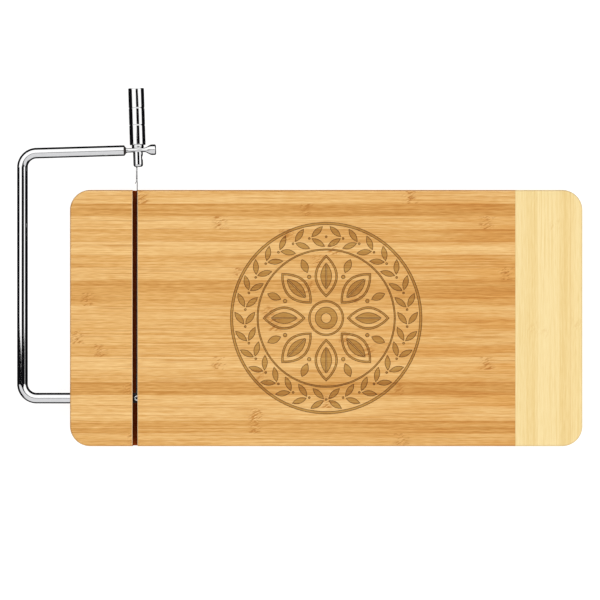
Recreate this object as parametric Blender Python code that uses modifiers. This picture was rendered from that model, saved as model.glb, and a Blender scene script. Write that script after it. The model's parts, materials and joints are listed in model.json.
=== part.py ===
"""Cheese wire cutter: a bamboo board with a cross slot, and a swinging wire handle of bent steel bar.

The handle's lower leg turns in a bore in the board's left end. The wire runs from that leg, along the
slot, to a draw bolt in the eye of the upper arm, and turning the grip pulls the bolt to tighten the wire.

Metres, +Z up. X runs along the board, Y across it, and the feet stand on Z = 0. The origin is under the
middle of the whole object, with the handle down.
"""

import math

import bmesh
import bpy
from mathutils import Matrix, Vector

# Between neighbours that touch, and how far a cutter reaches past the face it opens
GAP = 0.0003
OVERRUN = 0.002

# Board
BOARD_LENGTH = 0.305
BOARD_WIDTH = 0.1525
BOARD_THICKNESS = 0.019
CORNER_RADIUS = 0.012
EDGE_RADIUS = 0.0012
BAND_WIDTH = 0.040
TONGUE_LENGTH = 0.008
TONGUE_THICKNESS = 0.006
SLOT_FROM_LEFT = 0.0387
SLOT_WIDTH = 0.003
SLOT_BELOW_PIVOT = 0.0015
SLOT_CHAMFER = 0.0004

# Feet and their screws
FOOT_HEIGHT = 0.004
FOOT_RADIUS = 0.007
FOOT_ROUNDING = 0.0006
FOOT_INSET = 0.020
FOOT_RECESS_RADIUS = 0.0034
FOOT_RECESS_DEPTH = 0.0022
SCREW_RADIUS = 0.0015
SCREW_THREAD_DEPTH = 0.0004
SCREW_PITCH = 0.0014
SCREW_POINT = 0.003
SCREW_IN_WOOD = 0.0085
SCREW_HEAD_RADIUS = 0.003
SCREW_HEAD_HEIGHT = 0.0015
SCREW_HEAD_ROUNDING = 0.0006
CROSS_HALF_LENGTH = 0.0016
CROSS_HALF_WIDTH = 0.00035
CROSS_DEPTH = 0.0007

# Handle bar
BAR_RADIUS = 0.003175
BEND_RADIUS = 0.0085
PIVOT_FROM_FRONT = 0.02835
LEG_FROM_BOARD = 0.0290  # the long leg's axis, out from the board's left end
ARM_REACH = 0.14825  # across the board, from the pivot's axis to the middle of the eye
ARM_OPENING = 1.7  # degrees by which the upper arm is sprung away from the board
EYE_PAST_SLOT = 0.0013  # how far the middle of the eye stands to the right of the slot's middle
PIVOT_PAST_SLOT = 0.012  # how far the pivot leg goes on past the slot
TIP_CHAMFER = 0.0008
SHOULDER_FROM_EYE = 0.0084  # where the upper arm stops being round
SHOULDER_LENGTH = 0.0018
EYE_HALF_THICKNESS = 0.0012
EYE_HALF_WIDTH = 0.0054
EYE_NECK = 0.25  # how much of its extra width the flat part keeps at its ends
FLARE_FROM_EYE = 0.0038
FLARE_LENGTH = 0.0046
STUB_END_FROM_EYE = 0.0108
EYE_IN_BAR = 0.0015  # the pressed end starts this far inside the round bar
EYE_UNDER_BAR = 0.00003  # and this far under its surface

# Wire, and the beads at its ends
WIRE_RADIUS = 0.00025
TWIST_RADIUS = 0.0005  # two strands twisted round each other
TWIST_LENGTH = 0.0138
LOWER_BEAD_RADIUS = 0.0016
UPPER_BEAD_RADIUS = 0.0013
BEAD_HALF_HEIGHT = 0.0008
BEAD_CHAMFER = 0.0002
BEAD_HOLE_RADIUS = 0.00055
BEAD_GROOVE_DEPTH = 0.0003
BEAD_GROOVE_HALF_WIDTH = 0.0003
LOWER_BEAD_PAST_SLOT = 0.0007  # how far the lower bead lies to the right of the slot's middle
UPPER_BEAD_FROM_EYE = 0.0046
UPPER_BEAD_SETBACK = 0.0008  # how far the upper bead lies to the left of the bolt's axis
SEAT_DEPTH = 0.00115  # floor of the lower bead's seat, below the pivot leg's axis

# Draw bolt, washer and grip
BARREL_RADIUS = 0.0029
BARREL_REACH = 0.0100  # from the middle of the eye towards the board
BARREL_DOME = 0.0013
BARREL_IN_GRIP = 0.0005
THREAD_RADIUS = 0.0025
THREAD_PITCH = 0.0008
THREAD_DEPTH = 0.0004
THREAD_LENGTH = 0.0125
THREAD_IN_BARREL = 0.001
WASHER_RADIUS = 0.0036
WASHER_THICKNESS = 0.0013
WASHER_CHAMFER = 0.0003
GRIP_RADIUS = 0.0047
GRIP_LENGTH = 0.0338
GRIP_CHAMFER = 0.0003
GROOVE_FROM_END = 0.0118
GROOVE_HALF_WIDTH = 0.0004
GROOVE_DEPTH = 0.00035
COUNTERBORE_DEPTH = 0.005
BORE_DEPTH = 0.019

ROUND_SIDES = 24
SMALL_SIDES = 16

# Places on the grip's axis, measured from the middle of the eye, away from the board
WASHER_NEAR = EYE_HALF_THICKNESS + GAP
GRIP_NEAR = WASHER_NEAR + WASHER_THICKNESS + GAP
GRIP_FAR = GRIP_NEAR + GRIP_LENGTH

# Places in the object's own frame
OPENING = math.radians(ARM_OPENING)
HANDLE_OVERHANG = LEG_FROM_BOARD + BAR_RADIUS
GRIP_REACH = ARM_REACH + GRIP_FAR * math.cos(OPENING) + (GRIP_RADIUS - GRIP_CHAMFER) * math.sin(OPENING)
BOARD_LEFT = (HANDLE_OVERHANG - BOARD_LENGTH) / 2
BOARD_RIGHT = BOARD_LEFT + BOARD_LENGTH
BOARD_FRONT = -(PIVOT_FROM_FRONT + GRIP_REACH) / 2
BOARD_BACK = BOARD_FRONT + BOARD_WIDTH
BOARD_BASE = FOOT_HEIGHT
BAND_JOINT = BOARD_RIGHT - BAND_WIDTH
PIVOT_X = BOARD_LEFT + SLOT_FROM_LEFT
PIVOT_Y = BOARD_FRONT + PIVOT_FROM_FRONT
PIVOT_Z = BOARD_BASE + BOARD_THICKNESS / 2


# ---------------------------------------------------------------- scene and materials


def clear_scene():
    for obj in list(bpy.data.objects):
        bpy.data.objects.remove(obj)


def new_collection(name):
    collection = bpy.data.collections.new(name)
    bpy.context.scene.collection.children.link(collection)
    return collection


def principled(name, color, roughness, metallic):
    material = bpy.data.materials.new(name)
    material.use_nodes = True
    shader = material.node_tree.nodes["Principled BSDF"]
    shader.inputs["Base Color"].default_value = (*color, 1.0)
    shader.inputs["Roughness"].default_value = roughness
    shader.inputs["Metallic"].default_value = metallic
    return material


clear_scene()
PARTS = new_collection("cheese_wire_cutter")
CUTTERS = new_collection("cutters")
CARAMEL_BAMBOO = principled("caramel_bamboo", (0.78, 0.44, 0.15), 0.5, 0.0)
NATURAL_BAMBOO = principled("natural_bamboo", (0.95, 0.76, 0.38), 0.5, 0.0)
CHROME = principled("chrome", (0.86, 0.87, 0.88), 0.06, 1.0)
STAINLESS = principled("stainless_steel", (0.62, 0.62, 0.62), 0.25, 1.0)
RUBBER = principled("foot_rubber", (0.03, 0.03, 0.032), 0.8, 0.0)


# ---------------------------------------------------------------- objects and frames


def place(obj, parent, location, rotation):
    """Put an object at a place in its parent's frame, turned by angles in degrees."""
    obj.parent = parent
    obj.location = location
    obj.rotation_euler = [math.radians(angle) for angle in rotation]
    return obj


def link_frame(name, parent, location, rotation=(0, 0, 0)):
    """An empty that other pieces are placed in, on the axis they turn or slide on."""
    frame = bpy.data.objects.new(name, None)
    frame.empty_display_size = 0.01
    PARTS.objects.link(frame)
    return place(frame, parent, location, rotation)


def link_part(name, mesh, material, parent=None, location=(0, 0, 0), rotation=(0, 0, 0)):
    """A mesh becomes a named piece of the object."""
    mesh.materials.clear()
    mesh.materials.append(material)
    obj = bpy.data.objects.new(name, mesh)
    PARTS.objects.link(obj)
    return place(obj, parent, location, rotation)


def link_cutter(name, data, parent=None, location=(0, 0, 0), rotation=(0, 0, 0)):
    """A mesh or curve becomes a helper that only cuts, joins or is turned into a mesh."""
    obj = bpy.data.objects.new(name, data)
    obj.hide_render = True
    obj.display_type = "WIRE"
    CUTTERS.objects.link(obj)
    return place(obj, parent, location, rotation)


def add_boolean(obj, other, operation="DIFFERENCE"):
    modifier = obj.modifiers.new(f"{operation.lower()}_{other.name}", "BOOLEAN")
    modifier.operation = operation
    modifier.object = other


# ---------------------------------------------------------------- shapes


def arc(centre, radius, start, end, steps):
    """Points on an arc, with angles in degrees."""
    angles = [math.radians(start + (end - start) * i / steps) for i in range(steps + 1)]
    return [(centre[0] + radius * math.cos(a), centre[1] + radius * math.sin(a)) for a in angles]


def smooth_step(value):
    """From 0 to 1, level at both ends."""
    value = min(1.0, max(0.0, value))
    return value * value * (3.0 - 2.0 * value)


def shade_round(mesh, angle=35):
    mesh.shade_smooth()
    mesh.set_sharp_from_angle(angle=math.radians(angle))


def mesh_from(name, work):
    mesh = bpy.data.meshes.new(name)
    work.to_mesh(mesh)
    work.free()
    return mesh


def mesh_of(obj):
    """The evaluated mesh of a helper at the world's origin, welded. The helper is then removed."""
    graph = bpy.context.evaluated_depsgraph_get()
    mesh = bpy.data.meshes.new_from_object(obj.evaluated_get(graph))
    work = bmesh.new()
    work.from_mesh(mesh)
    bmesh.ops.remove_doubles(work, verts=work.verts, dist=1e-6)
    bmesh.ops.recalc_face_normals(work, faces=work.faces)
    work.to_mesh(mesh)
    work.free()
    bpy.data.objects.remove(obj)
    return mesh


def box_mesh(name, low, high):
    """A box between two corners."""
    low = Vector(low)
    high = Vector(high)
    work = bmesh.new()
    bmesh.ops.create_cube(work, size=1.0)
    bmesh.ops.scale(work, vec=high - low, verts=work.verts)
    bmesh.ops.translate(work, vec=(low + high) / 2, verts=work.verts)
    return mesh_from(name, work)


def drill_mesh(name, radius, start, end, sides=ROUND_SIDES):
    """A cylinder whose flats stand at the radius, so that a round shaft clears the hole it cuts."""
    start = Vector(start)
    end = Vector(end)
    corner_radius = radius / math.cos(math.pi / sides)
    along = (end - start).to_track_quat("Z", "Y").to_matrix().to_4x4()
    work = bmesh.new()
    bmesh.ops.create_cone(
        work,
        cap_ends=True,
        segments=sides,
        radius1=corner_radius,
        radius2=corner_radius,
        depth=(end - start).length,
        matrix=Matrix.Translation((start + end) / 2) @ along,
    )
    return mesh_from(name, work)


def outline_mesh(name, points, half_thickness, edge_radius=0.0):
    """A flat outline in XY, thickened both ways along Z, with rounded edges if asked."""
    curve = bpy.data.curves.new(name, "CURVE")
    curve.dimensions = "2D"
    curve.fill_mode = "BOTH"
    curve.extrude = half_thickness - edge_radius
    curve.bevel_depth = edge_radius
    curve.bevel_resolution = 2
    curve.offset = -edge_radius
    spline = curve.splines.new("POLY")
    spline.points.add(len(points) - 1)
    for point, (x, y) in zip(spline.points, points):
        point.co = (x, y, 0.0, 1.0)
    spline.use_cyclic_u = True
    return mesh_of(link_cutter(name, curve))


def turned_mesh(name, profile, sides, closed=False):
    """A profile of (radius, height) points, listed down its outer side, turned about Z."""
    work = bmesh.new()
    corners = [work.verts.new((radius, 0.0, height)) for radius, height in profile]
    for first, second in zip(corners, corners[1:]):
        work.edges.new((first, second))
    if closed:
        work.edges.new((corners[-1], corners[0]))
    obj = link_cutter(name, mesh_from(name, work))
    screw = obj.modifiers.new("turn", "SCREW")
    screw.axis = "Z"
    screw.angle = math.radians(360)
    screw.steps = sides
    screw.render_steps = sides
    screw.use_merge_vertices = True
    screw.merge_threshold = 0.00001
    turned = mesh_of(obj)
    shade_round(turned)
    return turned


def thread_mesh(name, length, radius, depth, pitch, point=0.0):
    """A right-hand screw thread up from Z = 0: rings of points whose radius follows the helix.

    Its far end tapers over the point's length, down to a blunt tip.
    """
    sides = 12
    rings_per_turn = 4
    blunt = 0.2
    step = pitch / rings_per_turn
    rings = round(length / step)
    work = bmesh.new()
    grid = []
    for ring in range(rings + 1):
        height = ring * step
        from_end = rings * step - height
        taper = min(1.0, blunt + (1.0 - blunt) * from_end / point) if point else 1.0
        row = []
        for side in range(sides):
            angle = side * math.tau / sides
            phase = (height / pitch - side / sides) % 1.0
            crest = 1.0 - abs(2.0 * phase - 1.0)
            reach = (radius - depth * (1.0 - crest)) * taper
            row.append(work.verts.new((reach * math.cos(angle), reach * math.sin(angle), height)))
        grid.append(row)
    bridge_rings(work, grid)
    return mesh_from(name, work)


def bridge_rings(work, rings):
    """Skin a stack of rings with equal numbers of points, and close both ends."""
    sides = len(rings[0])
    for first, second in zip(rings, rings[1:]):
        for side in range(sides):
            following = (side + 1) % sides
            work.faces.new((first[side], first[following], second[following], second[side]))
    work.faces.new(rings[0][::-1])
    work.faces.new(rings[-1])
    bmesh.ops.recalc_face_normals(work, faces=work.faces)


# ---------------------------------------------------------------- board


def board_blank():
    """The glued-up board with its corners and edges rounded, before it is cut."""
    left = BOARD_LEFT + CORNER_RADIUS
    right = BOARD_RIGHT - CORNER_RADIUS
    front = BOARD_FRONT + CORNER_RADIUS
    back = BOARD_BACK - CORNER_RADIUS
    corners = [(right, back, 0), (left, back, 90), (left, front, 180), (right, front, 270)]
    outline = []
    for x, y, start in corners:
        outline += arc((x, y), CORNER_RADIUS, start, start + 90, 8)
    mesh = outline_mesh("board_blank", outline, BOARD_THICKNESS / 2, EDGE_RADIUS)
    shade_round(mesh, 30)
    return mesh


def band_side(gap):
    """Outline of everything on the band's side of the tongue and groove, as X and height over mid board."""
    outside = BOARD_THICKNESS / 2 + OVERRUN
    far = BOARD_RIGHT + OVERRUN
    face = BAND_JOINT + gap
    end = BAND_JOINT + TONGUE_LENGTH + gap
    half = TONGUE_THICKNESS / 2 + gap
    return [
        (face, -outside),
        (far, -outside),
        (far, outside),
        (face, outside),
        (face, half),
        (end, half),
        (end, -half),
        (face, -half),
    ]


def slot_outline():
    """Cross section of the wire's slot, as X and height over mid board, with its top corners eased."""
    half = SLOT_WIDTH / 2
    wide = half + SLOT_CHAMFER
    top = BOARD_THICKNESS / 2
    right = [(half, -SLOT_BELOW_PIVOT), (half, top - SLOT_CHAMFER), (wide, top), (wide, top + OVERRUN)]
    left = [(-across, height) for across, height in reversed(right)]
    return [(PIVOT_X + across, height) for across, height in right + left]


def cutter_across(name, points):
    """A cutter with an upright outline, in X and height over mid board, that runs across the board."""
    mesh = outline_mesh(name, points, BOARD_WIDTH / 2 + OVERRUN)
    middle = (BOARD_FRONT + BOARD_BACK) / 2
    return link_cutter(name, mesh, location=(0, middle, PIVOT_Z), rotation=(90, 0, 0))


def foot_places():
    """Each foot's name ending and its place under the board."""
    left = BOARD_LEFT + FOOT_INSET
    right = BOARD_RIGHT - FOOT_INSET
    front = BOARD_FRONT + FOOT_INSET
    back = BOARD_BACK - FOOT_INSET
    return {
        "front_left": (left, front),
        "front_right": (right, front),
        "back_left": (left, back),
        "back_right": (right, back),
    }


def make_board():
    """The caramel panel and the pale end band, with the slot, the pivot bore and the screw holes."""
    blank = board_blank()
    middle = (0, 0, PIVOT_Z)
    panel = link_part("board_panel", blank, CARAMEL_BAMBOO, location=middle)
    band = link_part("board_end_band", blank.copy(), NATURAL_BAMBOO, location=middle)

    add_boolean(panel, cutter_across("panel_end_cut", band_side(0.0)))
    add_boolean(band, cutter_across("band_body", band_side(GAP)), "INTERSECT")
    add_boolean(panel, cutter_across("slot_cut", slot_outline()))

    bore_start = (BOARD_LEFT - OVERRUN, PIVOT_Y, PIVOT_Z)
    bore_end = (PIVOT_X + SLOT_WIDTH / 2 + PIVOT_PAST_SLOT + GAP, PIVOT_Y, PIVOT_Z)
    bore = drill_mesh("pivot_bore", BAR_RADIUS + GAP, bore_start, bore_end)
    add_boolean(panel, link_cutter("pivot_bore", bore))

    low = (0, 0, BOARD_BASE - OVERRUN)
    high = (0, 0, BOARD_BASE + SCREW_IN_WOOD + GAP)
    hole = drill_mesh("screw_hole", SCREW_RADIUS + GAP, low, high, SMALL_SIDES)
    for ending, (x, y) in foot_places().items():
        cutter = link_cutter(f"screw_hole_{ending}", hole, location=(x, y, 0))
        add_boolean(band if ending.endswith("right") else panel, cutter)


# ---------------------------------------------------------------- feet


def foot_mesh():
    """A rubber foot, wider at the board, with a recess for the screw's head."""
    top = FOOT_HEIGHT - GAP
    hole = SCREW_RADIUS + GAP
    profile = [
        (hole, top),
        (FOOT_RADIUS, top),
        (FOOT_RADIUS - FOOT_ROUNDING, FOOT_ROUNDING),
        (FOOT_RADIUS - 2 * FOOT_ROUNDING, 0.0),
        (FOOT_RECESS_RADIUS, 0.0),
        (FOOT_RECESS_RADIUS, FOOT_RECESS_DEPTH),
        (hole, FOOT_RECESS_DEPTH),
    ]
    return turned_mesh("foot", profile, ROUND_SIDES, closed=True)


def foot_screw_mesh():
    """A pan head wood screw that points up, with a cross recess in its head."""
    seat = FOOT_RECESS_DEPTH - GAP
    crown = seat - SCREW_HEAD_HEIGHT
    head = [
        (0.0, seat),
        (SCREW_HEAD_RADIUS, seat),
        (SCREW_HEAD_RADIUS, crown + SCREW_HEAD_ROUNDING),
        (SCREW_HEAD_RADIUS - SCREW_HEAD_ROUNDING, crown),
        (0.0, crown),
    ]
    screw = link_cutter("screw_blank", turned_mesh("screw_head", head, SMALL_SIDES))
    start = seat - SCREW_HEAD_HEIGHT / 4
    length = BOARD_BASE + SCREW_IN_WOOD - start
    thread = thread_mesh(
        "screw_thread", length, SCREW_RADIUS, SCREW_THREAD_DEPTH, SCREW_PITCH, point=SCREW_POINT
    )
    add_boolean(screw, link_cutter("screw_shank", thread, location=(0, 0, start)), "UNION")
    for x, y in [(CROSS_HALF_LENGTH, CROSS_HALF_WIDTH), (CROSS_HALF_WIDTH, CROSS_HALF_LENGTH)]:
        bar = box_mesh("screw_cross", (-x, -y, crown - OVERRUN), (x, y, crown + CROSS_DEPTH))
        add_boolean(screw, link_cutter("screw_cross", bar))
    return mesh_of(screw)


def make_feet():
    foot = foot_mesh()
    screw = foot_screw_mesh()
    for ending, (x, y) in foot_places().items():
        link_part(f"foot_{ending}", foot, RUBBER, location=(x, y, 0))
        link_part(f"foot_screw_{ending}", screw, STAINLESS, location=(x, y, 0))


# ---------------------------------------------------------------- handle bar, in the pivot's frame


def bar_path():
    """The bar's centreline, from the pivot leg's tip to the shoulder beside the eye."""
    tip = SLOT_WIDTH / 2 + PIVOT_PAST_SLOT
    leg_x = -(SLOT_FROM_LEFT + LEG_FROM_BOARD)
    bend_x = leg_x + BEND_RADIUS
    arm_over_bend = ARM_REACH + (bend_x - EYE_PAST_SLOT) * math.tan(OPENING)
    lower = arc((bend_x, BEND_RADIUS), BEND_RADIUS, 270, 180, 8)
    upper_centre = (bend_x, arm_over_bend - BEND_RADIUS / math.cos(OPENING))
    upper = arc(upper_centre, BEND_RADIUS, 180, 90 + ARM_OPENING, 8)
    shoulder_x = EYE_PAST_SLOT - SHOULDER_FROM_EYE * math.cos(OPENING)
    shoulder_y = ARM_REACH - SHOULDER_FROM_EYE * math.sin(OPENING)
    return [(tip, 0.0), (tip - TIP_CHAMFER, 0.0)] + lower + upper + [(shoulder_x, shoulder_y)]


def bar_mesh():
    """The round part of the bar, bent twice, with its tip chamfered."""
    path = bar_path()
    curve = bpy.data.curves.new("bar", "CURVE")
    curve.dimensions = "3D"
    curve.bevel_depth = BAR_RADIUS
    curve.bevel_resolution = ROUND_SIDES // 2 - 2
    curve.use_fill_caps = True
    spline = curve.splines.new("POLY")
    spline.points.add(len(path) - 1)
    for point, (x, y) in zip(spline.points, path):
        point.co = (x, y, 0.0, 1.0)
    spline.points[0].radius = 1.0 - TIP_CHAMFER / BAR_RADIUS
    mesh = mesh_of(link_cutter("bar", curve))
    shade_round(mesh)
    return mesh


def eye_section(along):
    """Half thickness, half width and squareness of the pressed eye, at a distance along the arm."""
    inside_bar = BAR_RADIUS - EYE_UNDER_BAR
    if along < 0.0:
        flatness = smooth_step((along + SHOULDER_FROM_EYE) / SHOULDER_LENGTH)
    else:
        flatness = 1.0 - smooth_step((along - FLARE_FROM_EYE) / FLARE_LENGTH)
    bulge = math.cos(min(1.0, abs(along) / SHOULDER_FROM_EYE) * math.pi / 2) ** 2
    half_thickness = inside_bar + (EYE_HALF_THICKNESS - inside_bar) * flatness
    half_width = inside_bar + (EYE_HALF_WIDTH - inside_bar) * max(bulge, EYE_NECK * flatness)
    return half_thickness, half_width, 2.0 + 2.5 * flatness


def eye_mesh():
    """A loft from the round bar, through the flat eye, to the round stub at the bar's end.

    It is in the eye's frame: X along the arm, Z through the eye.
    """
    start = -SHOULDER_FROM_EYE - EYE_IN_BAR
    end = STUB_END_FROM_EYE - TIP_CHAMFER
    steps = 32
    stations = [(start + (end - start) * i / steps, 1.0) for i in range(steps + 1)]
    stations.append((STUB_END_FROM_EYE, 1.0 - TIP_CHAMFER / BAR_RADIUS))
    work = bmesh.new()
    rings = []
    for along, scale in stations:
        half_thickness, half_width, power = eye_section(along)
        ring = []
        for side in range(ROUND_SIDES):
            angle = (side + 0.5) * math.tau / ROUND_SIDES
            cosine = math.cos(angle)
            sine = math.sin(angle)
            across = math.copysign(abs(sine) ** (2.0 / power), sine) * half_width * scale
            through = math.copysign(abs(cosine) ** (2.0 / power), cosine) * half_thickness * scale
            ring.append(work.verts.new((along, across, through)))
        rings.append(ring)
    bridge_rings(work, rings)
    return mesh_from("eye", work)


def seat_cutter_mesh():
    """A T in plan, open above: the bead sits in its wide part and the wire leaves by the slit."""
    left = -SLOT_WIDTH / 2 - GAP
    bead = LOWER_BEAD_RADIUS + GAP
    right = LOWER_BEAD_PAST_SLOT + bead
    slit = TWIST_RADIUS + GAP
    slit_left = LOWER_BEAD_PAST_SLOT - slit
    slit_right = LOWER_BEAD_PAST_SLOT + slit
    reach = BAR_RADIUS + OVERRUN
    outline = [
        (left, -reach),
        (right, -reach),
        (right, bead),
        (slit_right, bead),
        (slit_right, reach),
        (slit_left, reach),
        (slit_left, bead),
        (left, bead),
    ]
    return outline_mesh("bead_seat", outline, (reach + SEAT_DEPTH) / 2)


def make_handle_bar(pivot, eye):
    bar = link_part("handle_bar", bar_mesh(), CHROME, pivot)
    add_boolean(bar, link_cutter("eye_blank", eye_mesh(), eye), "UNION")
    through = (0, 0, BAR_RADIUS + OVERRUN)
    hole = drill_mesh("eye_hole", BARREL_RADIUS + GAP, -Vector(through), through)
    add_boolean(bar, link_cutter("eye_hole", hole, eye))
    seat_middle = (BAR_RADIUS + OVERRUN - SEAT_DEPTH) / 2
    add_boolean(bar, link_cutter("bead_seat", seat_cutter_mesh(), pivot, (0, 0, seat_middle)))


# ---------------------------------------------------------------- wire and its beads


def bead_mesh(radius):
    """A grooved bead with a hole through it. The wire loops round its groove."""
    waist = radius - BEAD_GROOVE_DEPTH
    upper = [
        (radius - BEAD_CHAMFER, BEAD_HALF_HEIGHT),
        (radius, BEAD_HALF_HEIGHT - BEAD_CHAMFER),
        (radius, BEAD_GROOVE_HALF_WIDTH),
        (waist, BEAD_GROOVE_HALF_WIDTH / 2),
    ]
    lower = [(reach, -height) for reach, height in reversed(upper)]
    inside = [(BEAD_HOLE_RADIUS, -BEAD_HALF_HEIGHT), (BEAD_HOLE_RADIUS, BEAD_HALF_HEIGHT)]
    return turned_mesh("bead", upper + lower + inside, SMALL_SIDES, closed=True)


def upper_bead_place():
    """The upper bead's middle in the pivot's frame."""
    down = Vector((math.sin(OPENING), -math.cos(OPENING), 0.0)) * UPPER_BEAD_FROM_EYE
    back = Vector((-math.cos(OPENING), -math.sin(OPENING), 0.0)) * UPPER_BEAD_SETBACK
    return Vector((EYE_PAST_SLOT, ARM_REACH, 0.0)) + down + back


def wire_mesh(length):
    """The wire between its beads, along Z. Its ends are as thick as the two strands twisted there."""
    near = LOWER_BEAD_RADIUS + GAP
    far = length - UPPER_BEAD_RADIUS - GAP
    change = TWIST_RADIUS
    profile = [
        (0.0, far),
        (TWIST_RADIUS, far),
        (TWIST_RADIUS, far - TWIST_LENGTH),
        (WIRE_RADIUS, far - TWIST_LENGTH - change),
        (WIRE_RADIUS, near + TWIST_LENGTH + change),
        (TWIST_RADIUS, near + TWIST_LENGTH),
        (TWIST_RADIUS, near),
        (0.0, near),
    ]
    return turned_mesh("wire", profile, 10)


def make_wire(pivot, eye):
    start = Vector((LOWER_BEAD_PAST_SLOT, 0.0, 0.0))
    run = upper_bead_place() - start
    lean = math.degrees(math.atan2(-run.x, run.y))
    link_part("cutting_wire", wire_mesh(run.length), STAINLESS, pivot, start, (-90, 0, lean))
    link_part("wire_bead_lower", bead_mesh(LOWER_BEAD_RADIUS), STAINLESS, pivot, start)
    in_bolt = (-UPPER_BEAD_SETBACK, 0, -UPPER_BEAD_FROM_EYE)
    link_part("wire_bead_upper", bead_mesh(UPPER_BEAD_RADIUS), STAINLESS, eye, in_bolt, (0, 90, 0))


# ---------------------------------------------------------------- bolt, washer and grip, in the eye's frame


def make_tension_bolt(eye):
    """A barrel that slides in the eye, threaded into the grip, with a window for the wire's bead."""
    end = GRIP_NEAR + BARREL_IN_GRIP
    dome = arc((BARREL_RADIUS - BARREL_DOME, BARREL_DOME - BARREL_REACH), BARREL_DOME, 0, -90, 4)
    profile = [(0.0, end), (BARREL_RADIUS, end)] + dome + [(0.0, -BARREL_REACH)]
    bolt = link_part("tension_bolt", turned_mesh("bolt_barrel", profile, ROUND_SIDES), CHROME, eye)

    thread = thread_mesh("bolt_thread", THREAD_LENGTH, THREAD_RADIUS, THREAD_DEPTH, THREAD_PITCH)
    add_boolean(bolt, link_cutter("bolt_thread", thread, eye, (0, 0, end - THREAD_IN_BARREL)), "UNION")

    outside = BARREL_RADIUS + OVERRUN
    back = UPPER_BEAD_SETBACK + BEAD_HALF_HEIGHT + GAP
    window_start = (-back, 0, -UPPER_BEAD_FROM_EYE)
    window_end = (outside, 0, -UPPER_BEAD_FROM_EYE)
    window = drill_mesh("bead_window", UPPER_BEAD_RADIUS + GAP, window_start, window_end, SMALL_SIDES)
    add_boolean(bolt, link_cutter("bead_window", window, eye))

    half = TWIST_RADIUS + GAP
    low = (-back, -half, -BARREL_REACH - OVERRUN)
    slit = box_mesh("wire_slit", low, (outside, half, -UPPER_BEAD_FROM_EYE))
    add_boolean(bolt, link_cutter("wire_slit", slit, eye))


def make_washer(eye):
    inner = BARREL_RADIUS + GAP
    far = WASHER_NEAR + WASHER_THICKNESS
    profile = [
        (inner, far),
        (WASHER_RADIUS - WASHER_CHAMFER, far),
        (WASHER_RADIUS, far - WASHER_CHAMFER),
        (WASHER_RADIUS, WASHER_NEAR + WASHER_CHAMFER),
        (WASHER_RADIUS - WASHER_CHAMFER, WASHER_NEAR),
        (inner, WASHER_NEAR),
    ]
    link_part("grip_washer", turned_mesh("washer", profile, ROUND_SIDES, closed=True), CHROME, eye)


def grip_profile():
    """The grip from its far end down its outside, then up its counterbore and bore."""
    chamfered = GRIP_RADIUS - GRIP_CHAMFER
    outside = [(0.0, GRIP_FAR), (chamfered, GRIP_FAR), (GRIP_RADIUS, GRIP_FAR - GRIP_CHAMFER)]
    for middle in (GRIP_FAR - GROOVE_FROM_END, GRIP_NEAR + GROOVE_FROM_END):
        outside += [
            (GRIP_RADIUS, middle + GROOVE_HALF_WIDTH),
            (GRIP_RADIUS - GROOVE_DEPTH, middle),
            (GRIP_RADIUS, middle - GROOVE_HALF_WIDTH),
        ]
    outside += [(GRIP_RADIUS, GRIP_NEAR + GRIP_CHAMFER), (chamfered, GRIP_NEAR)]
    counterbore = BARREL_RADIUS + GAP
    bore = THREAD_RADIUS + GAP
    shelf = GRIP_NEAR + COUNTERBORE_DEPTH
    end = GRIP_NEAR + BORE_DEPTH
    drill_point = end + bore / 2
    inside = [(counterbore, GRIP_NEAR), (counterbore, shelf), (bore, shelf), (bore, end), (0.0, drill_point)]
    return outside + inside


def make_grip(eye):
    link_part("grip", turned_mesh("grip", grip_profile(), ROUND_SIDES), CHROME, eye)


def make_handle():
    """Everything that swings: the pivot's frame is on the hinge, the eye's Z is the grip's axis."""
    pivot = link_frame("handle_pivot", None, (PIVOT_X, PIVOT_Y, PIVOT_Z))
    eye = link_frame("eye_axis", pivot, (EYE_PAST_SLOT, ARM_REACH, 0), (-90, 0, ARM_OPENING))
    make_handle_bar(pivot, eye)
    make_wire(pivot, eye)
    make_tension_bolt(eye)
    make_washer(eye)
    make_grip(eye)


make_board()
make_feet()
make_handle()
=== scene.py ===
"""The look of a cheese wire cutter: a bamboo board, and a chromed swinging handle that holds the wire.

Everything is in metres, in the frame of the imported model: X along the board, Y across it, Z up, with the
handle down. Most of the model's solids are replaced by finer pieces of the same size in the same place.
"""

import json
import math

import bmesh
import bpy
from mathutils import Matrix, Vector


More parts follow.
